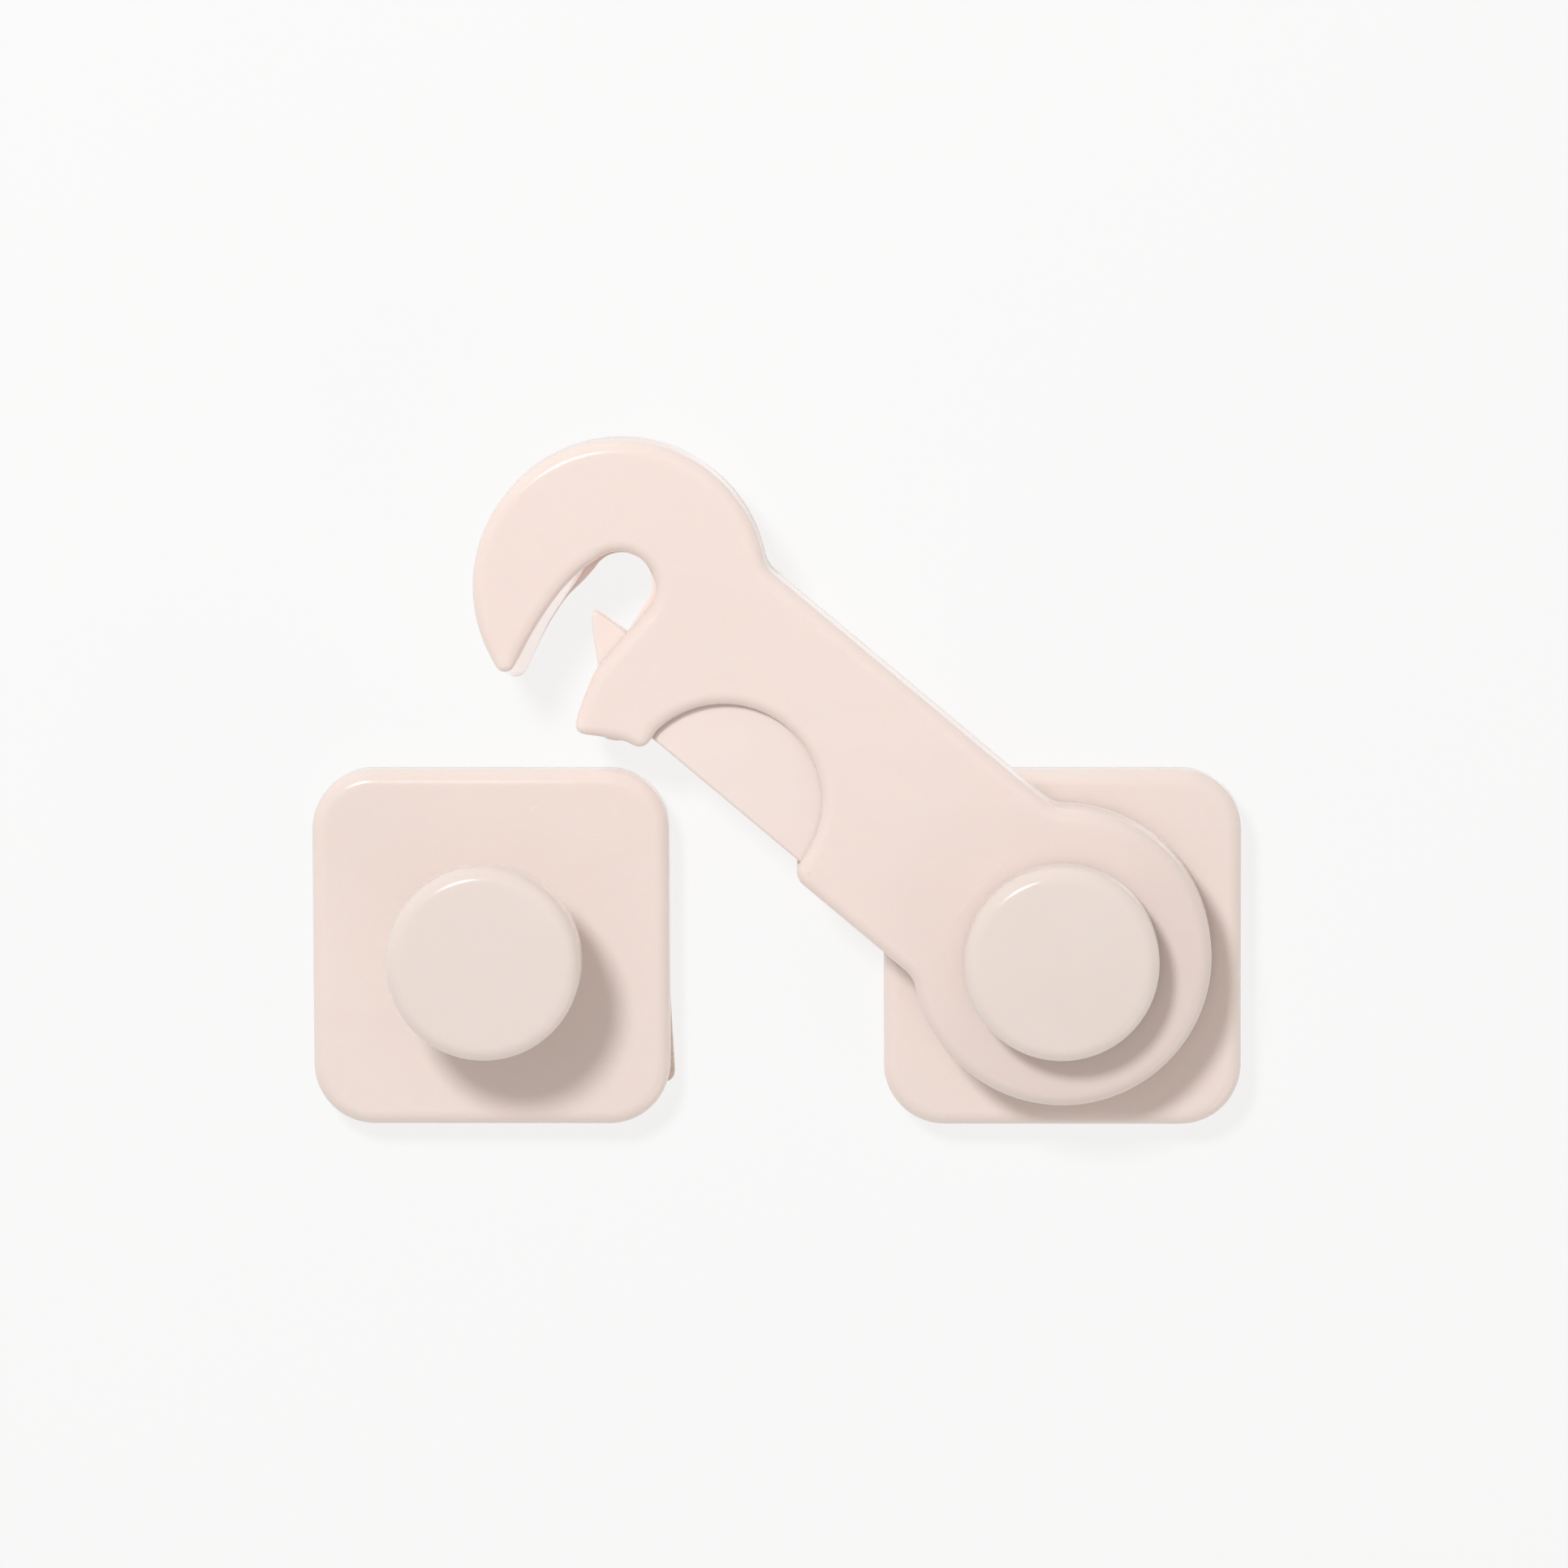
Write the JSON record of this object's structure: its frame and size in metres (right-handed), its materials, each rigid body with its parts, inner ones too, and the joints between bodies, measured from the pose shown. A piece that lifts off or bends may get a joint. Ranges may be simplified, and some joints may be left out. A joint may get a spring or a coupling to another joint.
{
  "type": "swing-arm hook latch",
  "caption": "Stick-on safety latch: a swinging arm pivots on one square base, hooks round the knobbed post of a second base and is held by a finger-released spring pawl.",
  "frame": {"origin": "where the arm's swing axis meets the adhesive face of the pivot side's foam pad", "axes": "+Z out of the mounting surface; +X from the catch post towards the swing axis, along the line the closed arm lies on; +Y towards the side the arm opens to"},
  "size_m": [0.104, 0.0775, 0.0219],
  "materials": {
    "arm_plastic": "glossy moulded ABS, pale pink-beige",
    "lever_plastic": "glossy moulded ABS, pale pink-beige",
    "base_plastic": "glossy moulded ABS, pale pink-beige",
    "cap_plastic": "glossy moulded ABS, pale pink-beige",
    "foam_tape": "soft closed-cell foam tape, off-white",
    "steel": "zinc-plated steel",
    "nylon": "natural nylon"
  },
  "bodies": {
    "bases": {"catch_adhesive_pad": "foam_tape", "catch_back_plate": "base_plastic", "catch_base": "base_plastic", "catch_cap": "cap_plastic", "catch_screw": "steel", "pivot_adhesive_pad": "foam_tape", "pivot_back_plate": "base_plastic", "pivot_base": "base_plastic", "pivot_cap": "cap_plastic", "pivot_screw": "steel", "pivot_washer": "nylon", "pivot_wave_washer": "steel"},
    "arm": {"arm_front_shell": "arm_plastic", "arm_rear_shell": "arm_plastic", "lever_pin": "steel", "lever_spring": "steel", "arm_screw_1": "steel", "arm_screw_2": "steel", "arm_screw_3": "steel", "arm_screw_4": "steel"},
    "lever": {"release_lever": "lever_plastic"}
  },
  "joints": [
    {"name": "arm_swing", "type": "hinge", "parent": "bases", "child": "arm", "pos_m": [0, 0, 0.0113], "axis": [0, 0, 1], "range_deg": [-139.88, 40.12]},
    {"name": "lever_press", "type": "hinge", "parent": "arm", "child": "lever", "pos_m": [-0.04144, 0.04486, 0.01035], "axis": [0, 0, 1], "range_deg": [0, 19], "stiffness_Nm_per_rad": 0.05, "springref_deg": -17.19, "deforming": ["lever_spring"]}
  ]
}
